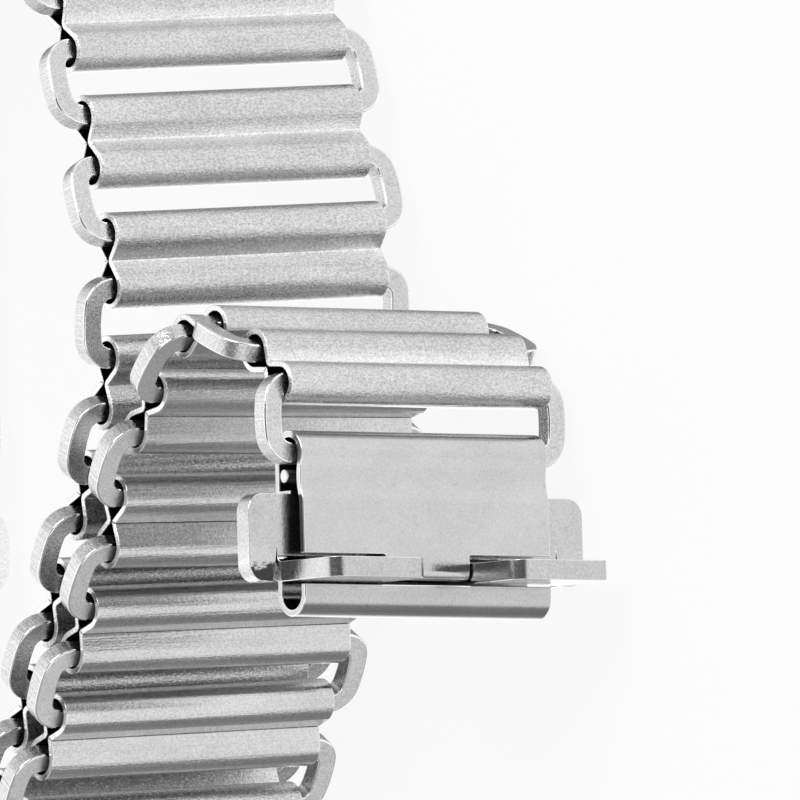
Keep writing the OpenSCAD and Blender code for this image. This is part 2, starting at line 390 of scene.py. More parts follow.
def shear_lines(tree):
    """Lines across a stamped rim: noise on the length along the piece's path."""
    coords = add_node(tree, "ShaderNodeTexCoord")
    way = add_node(tree, "ShaderNodeSeparateXYZ", {"Vector": coords.outputs["Object"]})
    place_on_path = sums(tree, "ADD", marked_by(tree, "along"),
                         sums(tree, "MULTIPLY", way.outputs["Y"], SHEAR_SLANT))
    noise = add_node(tree, "ShaderNodeTexNoise",
                     {"W": place_on_path, "Scale": SHEAR_LINES, "Detail": 3},
                     noise_dimensions="1D")
    return noise.outputs["Fac"]


def tumbled_finish(name, tones, roughs, grains, depth, darker_roll=False, stamped=False,
                   rubbed_with_sheen=False):
    """A sandy steel: its darkest and palest tone, its roughness and its grain."""
    finish, tree, shader = new_finish(name)
    sand = grain(tree, EVEN, grains, 3, 0.65)
    pit = grain(tree, EVEN, grains * PIT_SHARE, 2, 0.6)
    cloud = grain(tree, EVEN, CLOUDS, 3)
    tone = swing(tree, sand, *tones)
    tone = sums(tree, "ADD", tone, swing(tree, cloud, -CLOUD_SWING, CLOUD_SWING))
    tone = sums(tree, "SUBTRACT", tone,
                spread(tree, pit, PIT_FROM, PIT_TO, 0.0, PIT_DARK))
    rough = swing(tree, sand, *roughs)
    normal = bumped(tree, sand, 0.5, depth)
    normal = bumped(tree, pit, 0.3, depth, normal)
    if darker_roll:
        darkening = spread(tree, marked_by(tree, "roll"), 0.0, 1.0, 1.0, ROLL_DARKER)
        tone = sums(tree, "MULTIPLY", tone, darkening)
    # Painted light: with stamped, one plate face of each clip (back) is painted paler.
    if stamped:
        across = sums(tree, "ABSOLUTE", marked_by(tree, "across"), 0.0)
        rim = spread(tree, across, RIM_FROM, RIM_TO, 1.0, 0.0)
        shear = sums(tree, "MULTIPLY", rim,
                     swing(tree, shear_lines(tree), -RIM_STREAK, RIM_STREAK))
        back = sums(tree, "MULTIPLY", marked_by(tree, "back"),
                    sums(tree, "SUBTRACT", 1.0, rim))
        tone = sums(tree, "ADD", tone, shear)
        tone = sums(tree, "ADD", tone, sums(tree, "MULTIPLY", back, BACK_PAINTED_LIGHT))
        rough = sums(tree, "ADD", rough, sums(tree, "MULTIPLY", back, BACK_MATT))
    rough = sums(tree, "ADD", rough, swing(tree, cloud, -CLOUD_SWING, CLOUD_SWING))
    # Painted sheen: the rubbed places are painted paler; their lower roughness and dents
    # are wear.
    if rubbed_with_sheen:
        rub_and_sheen = marked_by(tree, "rub_and_sheen")
        tone = sums(tree, "ADD", tone, sums(tree, "MULTIPLY", rub_and_sheen, RUB_PAINTED_SHEEN))
        shine = spread(tree, rub_and_sheen, 0.0, 1.0, 1.0, RUBBED_SHINE)
        rough = sums(tree, "MULTIPLY", rough, shine)
        dent = sums(tree, "MULTIPLY", grain(tree, EVEN, DENTS, 2), rub_and_sheen)
        normal = bumped(tree, dent, 1.0, DENT_DEPTH, normal)
    tree.links.new(grey_of(tree, tone), shader.inputs["Base Color"])
    tree.links.new(rough, shader.inputs["Roughness"])
    tree.links.new(normal, shader.inputs["Normal"])
    shader.inputs["Metallic"].default_value = 1.0
    return finish


print("the function for tumbled steel reads", DENTS, "dents to a metre")

# %% [markdown]
# Each finish is now one line: its darkest and palest tone, its roughness, its grain and
# the marks that it reads. The tones are the metal's own, under plain light, except that
# the two edge finishes are paler as a painted highlight. The clasp's are close together,
# because its sheet is nearly even, and the clips' are far apart.

# %% Mix the finishes
clip_finish = tumbled_finish("tumbled_clip_steel", (0.46, 0.72), (0.22, 0.34),
                             8000, 40 * MICRON, stamped=True)
clasp_finish = tumbled_finish("matt_clasp_steel", (0.5, 0.62), (0.13, 0.19),
                              9000, 8 * MICRON, darker_roll=True)
latch_finish = tumbled_finish("latch_steel", (0.44, 0.62), (0.14, 0.24),
                              8000, 14 * MICRON, rubbed_with_sheen=True)
# The two edge finishes are paler than the faces: a painted highlight along worn and
# polished edges.
edge_wear_and_highlight = tumbled_finish("edge_wear_and_highlight_steel", (0.78, 0.92), (0.1, 0.18),
                           8000, 10 * MICRON)
edge_polish_and_highlight = tumbled_finish("edge_polish_and_highlight_steel", (0.78, 0.9), (0.06, 0.12),
                               9000, 4 * MICRON)
pin_finish = tumbled_finish("drawn_pin_steel", (0.6, 0.68), (0.14, 0.2),
                            9000, 6 * MICRON)
print("finishes", [f.name for f in (clip_finish, clasp_finish, latch_finish, edge_wear_and_highlight,
                                    edge_polish_and_highlight, pin_finish)])


# %% [markdown]
# ## The sweep that makes rungs and clips
# A rung is a flat strip that follows a path, and so is a clip: only the path and the
# strip's section differ. That is a job for Geometry Nodes. The tree takes a path of
# edges, turns it into a curve, sweeps a rectangle along it and sets the finish. It
# stores two marks on the way: along, the length travelled on the path in metres, and
# across, the place in the strip's width from -1 to 1. The clips' tree also stands the
# sweep upright and sets a second one at the other end. An extrusion by hand would give
# the same shape, but a tree takes another path or section at once.

# %% Build the two sweep trees
def with_twin(tree, piece, tube_end):
    """Stands the piece upright at one end of the tubes, and its twin at the other."""
    lift = add_node(tree, "ShaderNodeCombineXYZ", {"Z": tube_end})
    up = add_node(tree, "GeometryNodeTransform",
                  {"Geometry": piece, "Translation": lift.outputs["Vector"],
                   "Rotation": (math.pi / 2, 0, 0)})
    down = add_node(tree, "GeometryNodeTransform",
                    {"Geometry": up.outputs["Geometry"], "Rotation": (math.pi, 0, 0)})
    both = add_node(tree, "GeometryNodeJoinGeometry")
    tree.links.new(up.outputs["Geometry"], both.inputs["Geometry"])
    tree.links.new(down.outputs["Geometry"], both.inputs["Geometry"])
    return both.outputs["Geometry"]


def sweep_tree(name, paired):
    """A strip along a path; a paired one has its twin at the tubes' other end."""
    tree = bpy.data.node_groups.new(name, "GeometryNodeTree")
    face = tree.interface
    face.new_socket("Path", in_out="INPUT", socket_type="NodeSocketGeometry")
    for label in ("Strip thickness", "Strip width", "Tube end"):
        face.new_socket(label, in_out="INPUT", socket_type="NodeSocketFloat")
    face.new_socket("Finish", in_out="INPUT", socket_type="NodeSocketMaterial")
    face.new_socket("Piece", in_out="OUTPUT", socket_type="NodeSocketGeometry")
    given = add_node(tree, "NodeGroupInput").outputs
    curve = add_node(tree, "GeometryNodeMeshToCurve", {"Mesh": given["Path"]})
    length = add_node(tree, "GeometryNodeSplineParameter").outputs["Length"]
    measured = add_node(tree, "GeometryNodeStoreNamedAttribute",
                        {"Geometry": curve.outputs["Curve"], "Name": "along",
                         "Value": length}, data_type="FLOAT", domain="POINT")
    level = add_node(tree, "GeometryNodeSetCurveNormal",
                     {"Curve": measured.outputs["Geometry"]}, mode="Z_UP")
    section = add_node(tree, "GeometryNodeCurvePrimitiveQuadrilateral",
                       {"Width": given["Strip thickness"],
                        "Height": given["Strip width"]})
    swept = add_node(tree, "GeometryNodeCurveToMesh",
                     {"Curve": level.outputs["Curve"],
                      "Profile Curve": section.outputs["Curve"], "Fill Caps": True})
    height = add_node(tree, "ShaderNodeSeparateXYZ",
                      {"Vector": add_node(tree, "GeometryNodeInputPosition").outputs[0]})
    half = sums(tree, "MULTIPLY", given["Strip width"], 0.5)
    mark = sums(tree, "DIVIDE", height.outputs["Z"], half)
    marked = add_node(tree, "GeometryNodeStoreNamedAttribute",
                      {"Geometry": swept.outputs["Mesh"], "Name": "across",
                       "Value": mark}, data_type="FLOAT", domain="POINT")
    piece = marked.outputs["Geometry"]
    if paired:
        piece = with_twin(tree, piece, given["Tube end"])
    real = add_node(tree, "GeometryNodeRealizeInstances", {"Geometry": piece})
    dressed = add_node(tree, "GeometryNodeSetMaterial",
                       {"Geometry": real.outputs["Geometry"],
                        "Material": given["Finish"]})
    out = add_node(tree, "NodeGroupOutput")
    tree.links.new(dressed.outputs["Geometry"], out.inputs["Piece"])
    return tree


rung_tree = sweep_tree("rolled_rung", paired=False)
clip_tree = sweep_tree("stamped_clips", paired=True)
print("trees", rung_tree.name, clip_tree.name)


# %% [markdown]
# The edges of a stamped or rolled piece are not razor sharp, so a Bevel modifier
# rounds them, and its hardened normals keep the long flats flat. The faces that it
# makes can have a paler finish of their own, which paints a highlight along the edge.
# The result becomes a plain mesh before the piece is handed to the frame, because only
# plain meshes export as they look.

# %% Turn a path into a finished piece
SHARP_EDGE = 50


def set_inputs(modifier, tree, values):
    """Fills a modifier's inputs, which it knows by identifier and not by name."""
    for item in tree.interface.items_tree:
        given = item.item_type == "SOCKET" and item.in_out == "INPUT"
        if given and item.name in values:
            modifier[item.identifier] = values[item.name]


def path_object(name, points):
    mesh = bpy.data.meshes.new(name)
    mesh.from_pydata([Vector(p) * MM for p in points],
                     [(i, i + 1) for i in range(len(points) - 1)], [])
    obj = bpy.data.objects.new(name, mesh)
    scene.collection.objects.link(obj)
    return obj


def soften(obj, width, segments, edge_finish=None):
    """Rounds the sharp edges, which may get a finish of their own."""
    bevel = obj.modifiers.new("worn edges", "BEVEL")
    if edge_finish:
        obj.data.materials.append(edge_finish)
        bevel.material = len(obj.data.materials) - 1
    bevel.width = width * MM
    bevel.segments = segments
    bevel.limit_method = "ANGLE"
    bevel.angle_limit = math.radians(SHARP_EDGE)
    bevel.harden_normals = True
    bevel.miter_outer = "MITER_ARC"


def bake_mesh(obj, name):
    """The object's evaluated shape as a plain mesh, with all its modifiers applied."""
    bpy.context.view_layer.update()
    graph = bpy.context.evaluated_depsgraph_get()
    mesh = bpy.data.meshes.new_from_object(obj.evaluated_get(graph))
    mesh.name = name
    return mesh


def finish_piece(name, mesh, body, nodes, matrix):
    """Puts a mesh in its place and hands it to the frame."""
    mesh.transform(matrix)
    piece = bpy.data.objects.new(name, mesh)
    scene.collection.objects.link(piece)
    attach(piece, body)
    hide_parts(*nodes)


print("edges sharper than", SHARP_EDGE, "degrees are rounded")

# %% [markdown]
# ## The rungs
# Seen from its end, a rung is one strip that starts at the seam at the back, runs
# round the first tube, dips into the crease at the front, runs round the second tube
# and comes back to the seam. The path is the middle of the strip's thickness. Straight
# walls leave each tube at the angle at which they point to the waist.

# %% The path of a rung's strip
def arc(centre, radius, start, end, steps):
    """Points on an arc in the XY plane, with its angles in degrees."""
    turns = [math.radians(start + (end - start) * i / steps) for i in range(steps + 1)]
    return [(centre[0] + radius * math.cos(turn), centre[1] + radius * math.sin(turn), 0)
            for turn in turns]


CREASE_R = 0.24
CREASE_STEPS = 5
TUBE_STEPS = 44


def rung_path():
    half = TUBE_SPACING / 2
    middle = BORE + SHEET / 2
    wall = math.degrees(math.asin(BORE / half))
    cos_wall, sin_wall = math.cos(math.radians(wall)), math.sin(math.radians(wall))
    low = SHEET / 2 / cos_wall
    end_x = SEAM / 2 + SHEET / 2 * sin_wall
    end = (end_x, -low - end_x * sin_wall / cos_wall, 0)
    around = arc((half, 0), middle, -90 - wall, 90 + wall, TUBE_STEPS)
    dip = arc((0, low + CREASE_R / cos_wall), CREASE_R, -90 + wall, -90, CREASE_STEPS)
    right = [end] + around + dip
    left = [(-x, y, z) for x, y, z in reversed(right[:-1])]
    return [(x + half, y, z) for x, y, z in right + left]


print(len(rung_path()), "points on a rung's path")

# %% [markdown]
# The sweep ends in two square cuts, which would leave a wedge open at the back. The
# vertices there are drawn together until only a hair's gap is left, as the press leaves
# it. Then each vertex gets the marks that the satin finish reads. The strip is one
# surface with no parts to pick out, so the rules go by the distance from the tubes'
# axes and from the waist.

# %% Close the seam and mark the strip
RIM_WEAR = 0.05
SEAM_SHOWN = 0.02
SEAM_REACH = 0.3
WAIST_REACH = 0.7
CREASE_DEPTH, CREASE_WIDTH = 0.1, 0.07
BACK_FADE = 0.6
SLACK = 0.02
WALL_SLOPE = math.tan(math.asin(BORE / (TUBE_SPACING / 2)))


def close_seam(mesh):
    """Cuts the strip's two ends upright, so that they meet along a narrow seam."""
    half = TUBE_SPACING / 2 * MM
    for vertex in mesh.vertices:
        x, y = vertex.co.x - half, vertex.co.y
        if y < 0 and abs(x) < SEAM_REACH * MM:
            closed = math.copysign(SEAM_SHOWN / 2 * MM, x)
            side = 1 if abs(x) > abs(closed) else -1
            vertex.co.y = y + abs(x - closed) * WALL_SLOPE * side
            vertex.co.x = half + closed


def add_mark(mesh, name, rule):
    """Stores a value from 0 to 1 on every vertex, from its place in millimetres."""
    mark = mesh.attributes.new(name, "FLOAT", "POINT")
    for vertex in mesh.vertices:
        value = float(rule(*(vertex.co / MM)))
        mark.data[vertex.index].value = min(1.0, max(0.0, value))


def inside_rung(x, y, z):
    """The strip's inner face, in the tubes and between them, painted dark as painted
    shade.
    """
    off_waist = abs(x - TUBE_SPACING / 2)
    from_axis = min(math.hypot(x, y), math.hypot(x - TUBE_SPACING, y))
    at_waist = abs(y) < off_waist * WALL_SLOPE + SLACK and off_waist < WAIST_REACH
    return from_axis < BORE + SLACK or at_waist


# The band along the crease that gets a painted highlight.
def crease_highlight_band(x, y, z):
    return y > CREASE_DEPTH and abs(x - TUBE_SPACING / 2) < CREASE_WIDTH


def back_of_piece(x, y, z):
    return 0.5 - y / BACK_FADE


print("the seam shows", SEAM_SHOWN, "mm, its walls slope", round(WALL_SLOPE, 2))

# %% [markdown]
# All rungs are alike. One strip is swept, closed, rounded at its rims and marked, and
# each link gets a copy. The links could share one mesh, but each copy is moved to its
# place vertex by vertex, so each has a mesh of its own.

# %% Make the 27 rungs
def make_rungs():
    path = path_object("rung_path", rung_path())
    sweep = path.modifiers.new("sweep", "NODES")
    sweep.node_group = rung_tree
    set_inputs(sweep, rung_tree, {"Strip thickness": SHEET * MM,
                                  "Strip width": RUNG_LEN * MM,
                                  "Finish": rung_finish})
    strip = bake_mesh(path, "strip")
    close_seam(strip)
    path.modifiers.clear()
    path.data = strip
    soften(path, RIM_WEAR, 2)
    shape = bake_mesh(path, "rung")
    add_mark(shape, "inside", inside_rung)
    add_mark(shape, "crease", crease_highlight_band)
    add_mark(shape, "back", back_of_piece)
    bpy.data.objects.remove(path)
    rungs = [body for body in chain if body.startswith("link_")]
    for body in rungs:
        finish_piece("rolled_" + body, shape.copy(), body, [body], place[body])
    print(len(rungs), "rungs of", len(shape.polygons), "faces")


make_rungs()

# %% [markdown]
# ## The side clips
# A clip is a flat U stamped from plate. Its two arms reach into the tubes and its back
# is slightly bowed. The path runs up one arm, round the shoulder, along the back and
# down the other arm. It could be cut from a plate with a Boolean, but a swept bar has
# cleaner faces. The tree stands one clip at each end of the tubes.

# %% The path of a clip
CORNER_STEPS = 10


def clip_path():
    """Points on the middle of the bar, from the foot of one arm to the other."""
    top = CLIP_OUT - CLIP_BAR / 2
    corner_x = CLIP_PITCH / 2 - CLIP_CORNER
    corner_y = top - CLIP_CORNER

    def bow(x):
        return x * x / (2 * CLIP_BOW)

    right = [(CLIP_PITCH / 2, -CLIP_ARM, 0)]
    right += arc((corner_x, corner_y), CLIP_CORNER, 0, 90, CORNER_STEPS)
    right += [(x, top, 0) for x in (corner_x * 0.6, corner_x * 0.3, 0)]
    right = [(x, y - bow(x) * (y > 0), z) for x, y, z in right]
    left = [(-x, y, z) for x, y, z in reversed(right[:-1])]
    return [(x + CLIP_PITCH / 2, y, z) for x, y, z in right + left]


print(len(clip_path()), "points on a clip's path")

# %% [markdown]
# The last pair hangs in the clasp, which is narrower than a rung. Its clips stand a
# little further in than the others, so that they touch neither the last rung nor the
# clasp. The swept bar has shear lines, a back face painted paler as painted light, and
# Bevel faces with the paler worn-edge finish, a painted highlight along the edges.

# %% Make the 27 pairs of clips
CLIP_WEAR = 0.1
HOME_HALF = max(HALF_CLASP, HALF_RUNG - (CLIP_OUT - CLIP_BACK - CLIP_HOME_GAP))


def clip_pair(tube_end):
    """Both clips of a joint, for tubes that end so far from the band's middle."""
    path = path_object("clip_path", clip_path())
    sweep = path.modifiers.new("sweep", "NODES")
    sweep.node_group = clip_tree
    set_inputs(sweep, clip_tree, {"Strip thickness": CLIP_BAR * MM,
                                  "Strip width": CLIP_PLATE * MM,
                                  "Tube end": tube_end * MM,
                                  "Finish": clip_finish})
    swept = bake_mesh(path, "swept_clips")
    path.modifiers.clear()
    path.data = swept
    soften(path, CLIP_WEAR, 3, edge_wear_and_highlight)
    shape = bake_mesh(path, "clips")
    add_mark(shape, "back", back_of_piece)
    bpy.data.objects.remove(path)
    return shape


def make_clips():
    pairs = [body for body in chain if body.startswith("side_clips_")]
    usual, home = clip_pair(HALF_RUNG), clip_pair(HOME_HALF)
    for body in pairs:
        shape = home if body == pairs[-1] else usual
        finish_piece("stamped_" + body, shape.copy(), body, [body],
                     place[body])
    print(len(pairs), "pairs of clips of", len(usual.polygons), "faces, the last",
          round(HALF_RUNG - HOME_HALF, 2), "mm further in")


make_clips()

# %% [markdown]
# ## The clasp
# The clasp is one sheet, bent across the band. Its section is a path again: from the
# lip it runs down round the roll, up the back wall, round the curl, in at the waist
# and down the front wall to the tongue. The notches and the tongue mean that rows of
# the sheet have different widths, so the sheet is a grid of faces in which only the
# right ones are made. It is shaded smooth, so that the bends look round, and Solidify
# then gives it its thickness.

# %% The clasp's section
ROLL_STEPS, CURL_STEPS = 24, 30
WAIST_STEPS, SHOULDER_STEPS, TONGUE_STEPS = 14, 8, 10
CAVITY = BORE
CLASP_HALF = CAVITY + CLASP_SHEET
PIN_Y = PIN_GAP + PIN_D / 2 - CAVITY
PIN_X = math.sqrt((BORE + PIN_GAP + PIN_D / 2) ** 2 - PIN_Y ** 2)
WAIST_Y = CLASP_HALF - WAIST_DEPTH + WAIST_R
WAIST_X = math.sqrt((CLASP_HALF + WAIST_R) ** 2 - WAIST_Y ** 2)
WALL_Y = CLASP_HALF - WAIST_SHOULDER
WALL_X = WAIST_X + math.sqrt((WAIST_R + WAIST_SHOULDER) ** 2 - (WAIST_Y - WALL_Y) ** 2)
ROLL_AT = CLASP_LEN - CLASP_HALF
CLAW_TOP = CLAW_LOW - LATCH
NOTCH_TOP = CLAW_TOP - TRAVEL - STOP
LIP_TOP = CLAW_LOW + STOP
TONGUE_END = LIP_TOP - SEAM
CLAW_IN = TONGUE / 2 + STOP


def clasp_section():
    """Two runs of points on the sheet's middle: the body's, then the tongue's."""
    mid = CLASP_HALF - CLASP_SHEET / 2
    pinch = math.degrees(math.atan2(WAIST_Y, WAIST_X))
    fall = math.degrees(math.atan2(WALL_Y - WAIST_Y, WALL_X - WAIST_X))
    body = [(LIP_TOP, mid, 0)]
    body += arc((ROLL_AT, 0), mid, 90, -90, ROLL_STEPS)
    body += arc((0, 0), mid, -90, pinch - 360, CURL_STEPS)
    body += arc((WAIST_X, WAIST_Y), WAIST_R + CLASP_SHEET / 2, 180 + pinch, 360 + fall,
                WAIST_STEPS)[1:]
    body += arc((WALL_X, WALL_Y), WAIST_SHOULDER - CLASP_SHEET / 2, 180 + fall, 90,
                SHOULDER_STEPS)[1:]
    body += [(NOTCH_TOP, mid, 0)]
    bend_x = TONGUE_END - TONGUE_BEND
    bend_mid = TONGUE_BEND - CLASP_SHEET / 2
    tongue = arc((bend_x, mid - bend_mid), bend_mid, 90, 0, TONGUE_STEPS)
    tongue += [(TONGUE_END - CLASP_SHEET / 2, CAVITY - TONGUE_REACH, 0)]
    return body, tongue


print("waist at", round(WAIST_X, 2), "mm, front wall from", round(WALL_X, 2), "mm")


# %% [markdown]
# The grid has three columns: the tongue in the middle and a side strip at each hand.
# The side strips end at the notches, and the middle one goes on into the tongue. The
# roll is marked, and its finish is made darker.

# %% Make the clasp's sheet
CLASP_WEAR = 0.06
ROLL_FADE = 0.5
MIDDLE_COLUMN = 1
ROLL_FADE_FROM = ROLL_AT - 0.7


def thicken(obj, thickness):
    """Gives a sheet its thickness, half of it on each side."""
    solid = obj.modifiers.new("thickness", "SOLIDIFY")
    solid.thickness = thickness * MM
    solid.offset = 0
    solid.use_even_offset = True


def sheet_object(name, sheet, finish):
    """A smooth object from a bmesh, which is used up."""
    bmesh.ops.recalc_face_normals(sheet, faces=sheet.faces)
    mesh = bpy.data.meshes.new(name)
    sheet.to_mesh(mesh)
    sheet.free()
    mesh.materials.append(finish)
    mesh.shade_smooth()
    obj = bpy.data.objects.new(name, mesh)
    scene.collection.objects.link(obj)
    return obj


def clasp_grid():
    """The clasp's sheet without its thickness."""
    body, tongue = clasp_section()
    columns = (-HALF_CLASP, -TONGUE / 2, TONGUE / 2, HALF_CLASP)
    rows = body + tongue
    sheet = bmesh.new()
    grid = [[sheet.verts.new((x * MM, y * MM, z * MM)) for z in columns]
            for x, y, _ in rows]
    for i in range(len(rows) - 1):
        for c in range(len(columns) - 1):
            if i < len(body) - 1 or c == MIDDLE_COLUMN:
                sheet.faces.new((grid[i][c], grid[i][c + 1],
                                 grid[i + 1][c + 1], grid[i + 1][c]))
    loose = [v for v in sheet.verts if not v.link_faces]
    bmesh.ops.delete(sheet, geom=loose, context="VERTS")
    return sheet


def make_clasp():
    obj = sheet_object("clasp_sheet", clasp_grid(), clasp_finish)
    thicken(obj, CLASP_SHEET)
    soften(obj, CLASP_WEAR, 2, edge_wear_and_highlight)
    shape = bake_mesh(obj, "clasp")
    add_mark(shape, "roll", lambda x, y, z: (x - ROLL_FADE_FROM) / ROLL_FADE)
    bpy.data.objects.remove(obj)
    finish_piece("folded_clasp", shape, "clasp", ["clasp_body"], place["clasp"])
    print("clasp of", len(shape.polygons), "faces")


make_clasp()

# %% [markdown]
# The cross pin is a short drawn wire with its ends lightly chamfered. It is turned
# like a spindle: half an outline is spun round the pin's axis, which leaves a seam
# and two poles to be merged. A cylinder would do, but its ends would be flat. The spin
# hands over its faces in any order, so they are sorted to come out alike every time.

# %% Make the cross pin
PIN_CHAMFER = 0.1
PIN_STEPS = 32
PIN_DISH = 0.02
PIN_SHARP = 30
SAME_PLACE = 1e-7


def pin_outline():
    """Half the pin's outline, as radius and height, from one pole to the other."""
    radius, half, chamfer = PIN_D / 2, HALF_CLASP, PIN_CHAMFER
    upper = [(0, half - PIN_DISH), (radius * 0.5, half - PIN_DISH / 2),
             (radius - chamfer, half),
             (radius - chamfer * 0.3, half - chamfer * 0.3), (radius, half - chamfer),
             (radius, 0)]
    return upper + [(r, -z) for r, z in reversed(upper[:-1])]


def make_pin():
    pin = bmesh.new()
    points = [pin.verts.new((r * MM, 0, z * MM)) for r, z in pin_outline()]
    edges = [pin.edges.new(pair) for pair in zip(points, points[1:])]
    bmesh.ops.spin(pin, geom=points + edges, axis=(0, 0, 1), cent=(0, 0, 0),
                   angle=math.tau, steps=PIN_STEPS)
    bmesh.ops.remove_doubles(pin, verts=pin.verts, dist=SAME_PLACE)
    bmesh.ops.recalc_face_normals(pin, faces=pin.faces)
    pin.verts.index_update()
    corners = sorted([v.index for v in face.verts] for face in pin.faces)
    mesh = bpy.data.meshes.new("pin")
    mesh.from_pydata([v.co for v in pin.verts], [], corners)
    pin.free()
    mesh.materials.append(pin_finish)
    mesh.shade_smooth()
    mesh.set_sharp_from_angle(angle=math.radians(PIN_SHARP))
    shift = Matrix.Translation(Vector((PIN_X, PIN_Y, 0)) * MM)
    finish_piece("drawn_cross_pin", mesh, "clasp", ["cross_pin"],
                 place["clasp"] @ shift)
    print("pin of", len(mesh.polygons), "faces")


make_pin()

# %% [markdown]
# ## The latch plate
# The latch is cut flat from plate and then bent, so it is built that way too. Its flat
# outline is drawn with the length along the sheet as one coordinate. It is sliced
# where it will bend, and each point is then carried round the bend. Solidify gives the
# plate its thickness and the Bevel its worn edges. Two plates joined at a corner would
# be quicker, but they would have no bend.

# %% The latch's places
LATCH_Y = BACK_GAP + LATCH / 2 - CAVITY
LATCH_TOP = PIN_X + PIN_D / 2 + TRAVEL + STOP
EAR_TOP = LATCH_TOP + EAR_DROP
BEND_AT = CLAW_LOW - CLAW_BEND
BEND_MID = CLAW_BEND - LATCH / 2
BEND_LEN = BEND_MID * math.pi / 2
BEND_STEPS = 12
CLAW_TIP = CLASP_HALF + CLAW_REACH - LATCH_Y
FLAT_TIP = BEND_AT + BEND_LEN + CLAW_TIP - BEND_MID
MID_LOW = TONGUE_END - CLASP_SHEET - STOP
CLAW_END = HALF_CLASP + CLAW_OUT
RELIEF_IN = CLAW_IN - 0.55
RELIEF_AT = BEND_AT - 0.4
EAR_GAP = 0.3
ROOT_AT = RELIEF_AT - 0.35
ROOT_OUT = CLAW_END + EAR_GAP + 0.25
PAST_BEND = 0.3
print("claw tip", round(CLAW_TIP, 2), "mm, flat length", round(FLAT_TIP, 2), "mm")

# %% [markdown]
# The part of the plate between the claws stays flat while the claws bend, so the two
# are separate tongues of the outline from the bend line on. A relief slot parts them,
# as a toolmaker would file one, and a narrow slit parts each claw from its ear.

# %% The latch's flat outline
def rounded(x, z, radius, start, steps=8):
    """A quarter corner of an outline, its centre at x, z."""
    turns = [math.radians(start + 90 * i / steps) for i in range(steps + 1)]
    return [(x + radius * math.cos(turn), z + radius * math.sin(turn)) for turn in turns]


def latch_outlines():
    """Flat outlines of one half: the plate with its ear, and the claw."""
    plate_side, ear_end = HALF_CLASP + STOP, HALF_CLASP + EAR_OUT
    ear_low = EAR_TOP + EAR_LEN
    plate = [(LATCH_TOP, 0), (MID_LOW, 0), (MID_LOW, RELIEF_IN), (RELIEF_AT, RELIEF_IN),
             (RELIEF_AT, CLAW_IN), (BEND_AT, CLAW_IN), (BEND_AT, CLAW_END),
             (RELIEF_AT, CLAW_END), (ear_low, CLAW_END + EAR_GAP)]
    plate += rounded(ear_low - EAR_R, ear_end - EAR_R, EAR_R, 0)
    plate += rounded(EAR_TOP + EAR_R, ear_end - EAR_R, EAR_R, 90)
    plate += [(EAR_TOP, plate_side), (LATCH_TOP, plate_side)]
    claw = [(BEND_AT, CLAW_IN)]
    claw += rounded(FLAT_TIP - CLAW_R, CLAW_IN + CLAW_R, CLAW_R, -90)
    claw += rounded(FLAT_TIP - CLAW_R, CLAW_END - CLAW_R, CLAW_R, 0)
    claw += [(BEND_AT, CLAW_END)]
    return plate, claw


print("outlines of", [len(outline) for outline in latch_outlines()], "points")

# %% [markdown]
# The slices that let a claw bend are made only in its own faces. Large flat faces that
# touch a bend would be shaded as if they bent too, so one cut past the bend and three
# round the claws' roots keep that shading within a narrow strip.

# %% Slice the latch and bend it
NEAR_TIP = FLAT_TIP - 0.1
TOUCH = 0.01
ON_CUT = 1e-6


def cut_through(flat, geom, spot, across):
    bmesh.ops.bisect_plane(flat, geom=geom, plane_co=spot, plane_no=across,
                           dist=ON_CUT)


def with_their_parts(faces):
    """The faces with their edges and corners, each one once and in order."""
    edges = dict.fromkeys(e for f in faces for e in f.edges)
    corners = dict.fromkeys(v for f in faces for v in f.verts)
    return faces + list(edges) + list(corners)


def sliced_latch():
    """Both halves of the latch, flat and in millimetres, with every cut made."""
    flat = bmesh.new()
    for side in (1, -1):
        for outline in latch_outlines():
            flat.faces.new([flat.verts.new((u, 0, side * z)) for u, z in outline])
    for spot, across in (((ROOT_AT, 0, 0), (1, 0, 0)), ((0, 0, ROOT_OUT), (0, 0, 1)),
                         ((0, 0, -ROOT_OUT), (0, 0, 1))):
        cut_through(flat, flat.verts[:] + flat.edges[:] + flat.faces[:], spot, across)
    cuts = [BEND_AT + BEND_LEN * i / BEND_STEPS for i in range(1, BEND_STEPS + 1)]
    for cut in cuts + [cuts[-1] + PAST_BEND]:
        claws = [f for f in flat.faces if max(v.co.x for v in f.verts) > NEAR_TIP]
        cut_through(flat, with_their_parts(claws), (cut, 0, 0), (1, 0, 0))
    return flat


def bent(u, z):
    """Carries a point of the flat outline round the claw's bend."""
    if u <= BEND_AT:
        return (u, 0, z)
    angle = min((u - BEND_AT) / BEND_MID, math.pi / 2)
    past = max(u - BEND_AT - BEND_LEN, 0)
    return (BEND_AT + BEND_MID * math.sin(angle),
            BEND_MID * (1 - math.cos(angle)) + past, z)


def bent_latch():
    """The latch's sheet with its claws bent up, in metres."""
    flat = sliced_latch()
    in_claws = set()
    for face in flat.faces:
        sides = [abs(v.co.z) for v in face.verts]
        if min(sides) > CLAW_IN - TOUCH and max(sides) < CLAW_END + TOUCH:
            in_claws.update(face.verts)
    for v in flat.verts:
        v.co = Vector(bent(v.co.x, v.co.z) if v in in_claws
                      else (v.co.x, 0, v.co.z)) * MM
    bmesh.ops.remove_doubles(flat, verts=flat.verts, dist=MICRON)
    return flat


print("bends cut", BEND_STEPS, "times, relief from", round(RELIEF_IN, 2), "mm")

# %% [markdown]
# Use has polished the plate where it rubs: round the claws' bends and at the corners of
# their tips. Those vertices are marked for the latch's finish, which makes them
# smoother and a little dented, and paler as a painted sheen. The Bevel's faces have the
# polished finish, whose paler tone paints a highlight along the edges.

# %% Make the latch plate
LATCH_WEAR = 0.24
EDGE_ROOM = 0.05
RIM_ROOM = 0.2


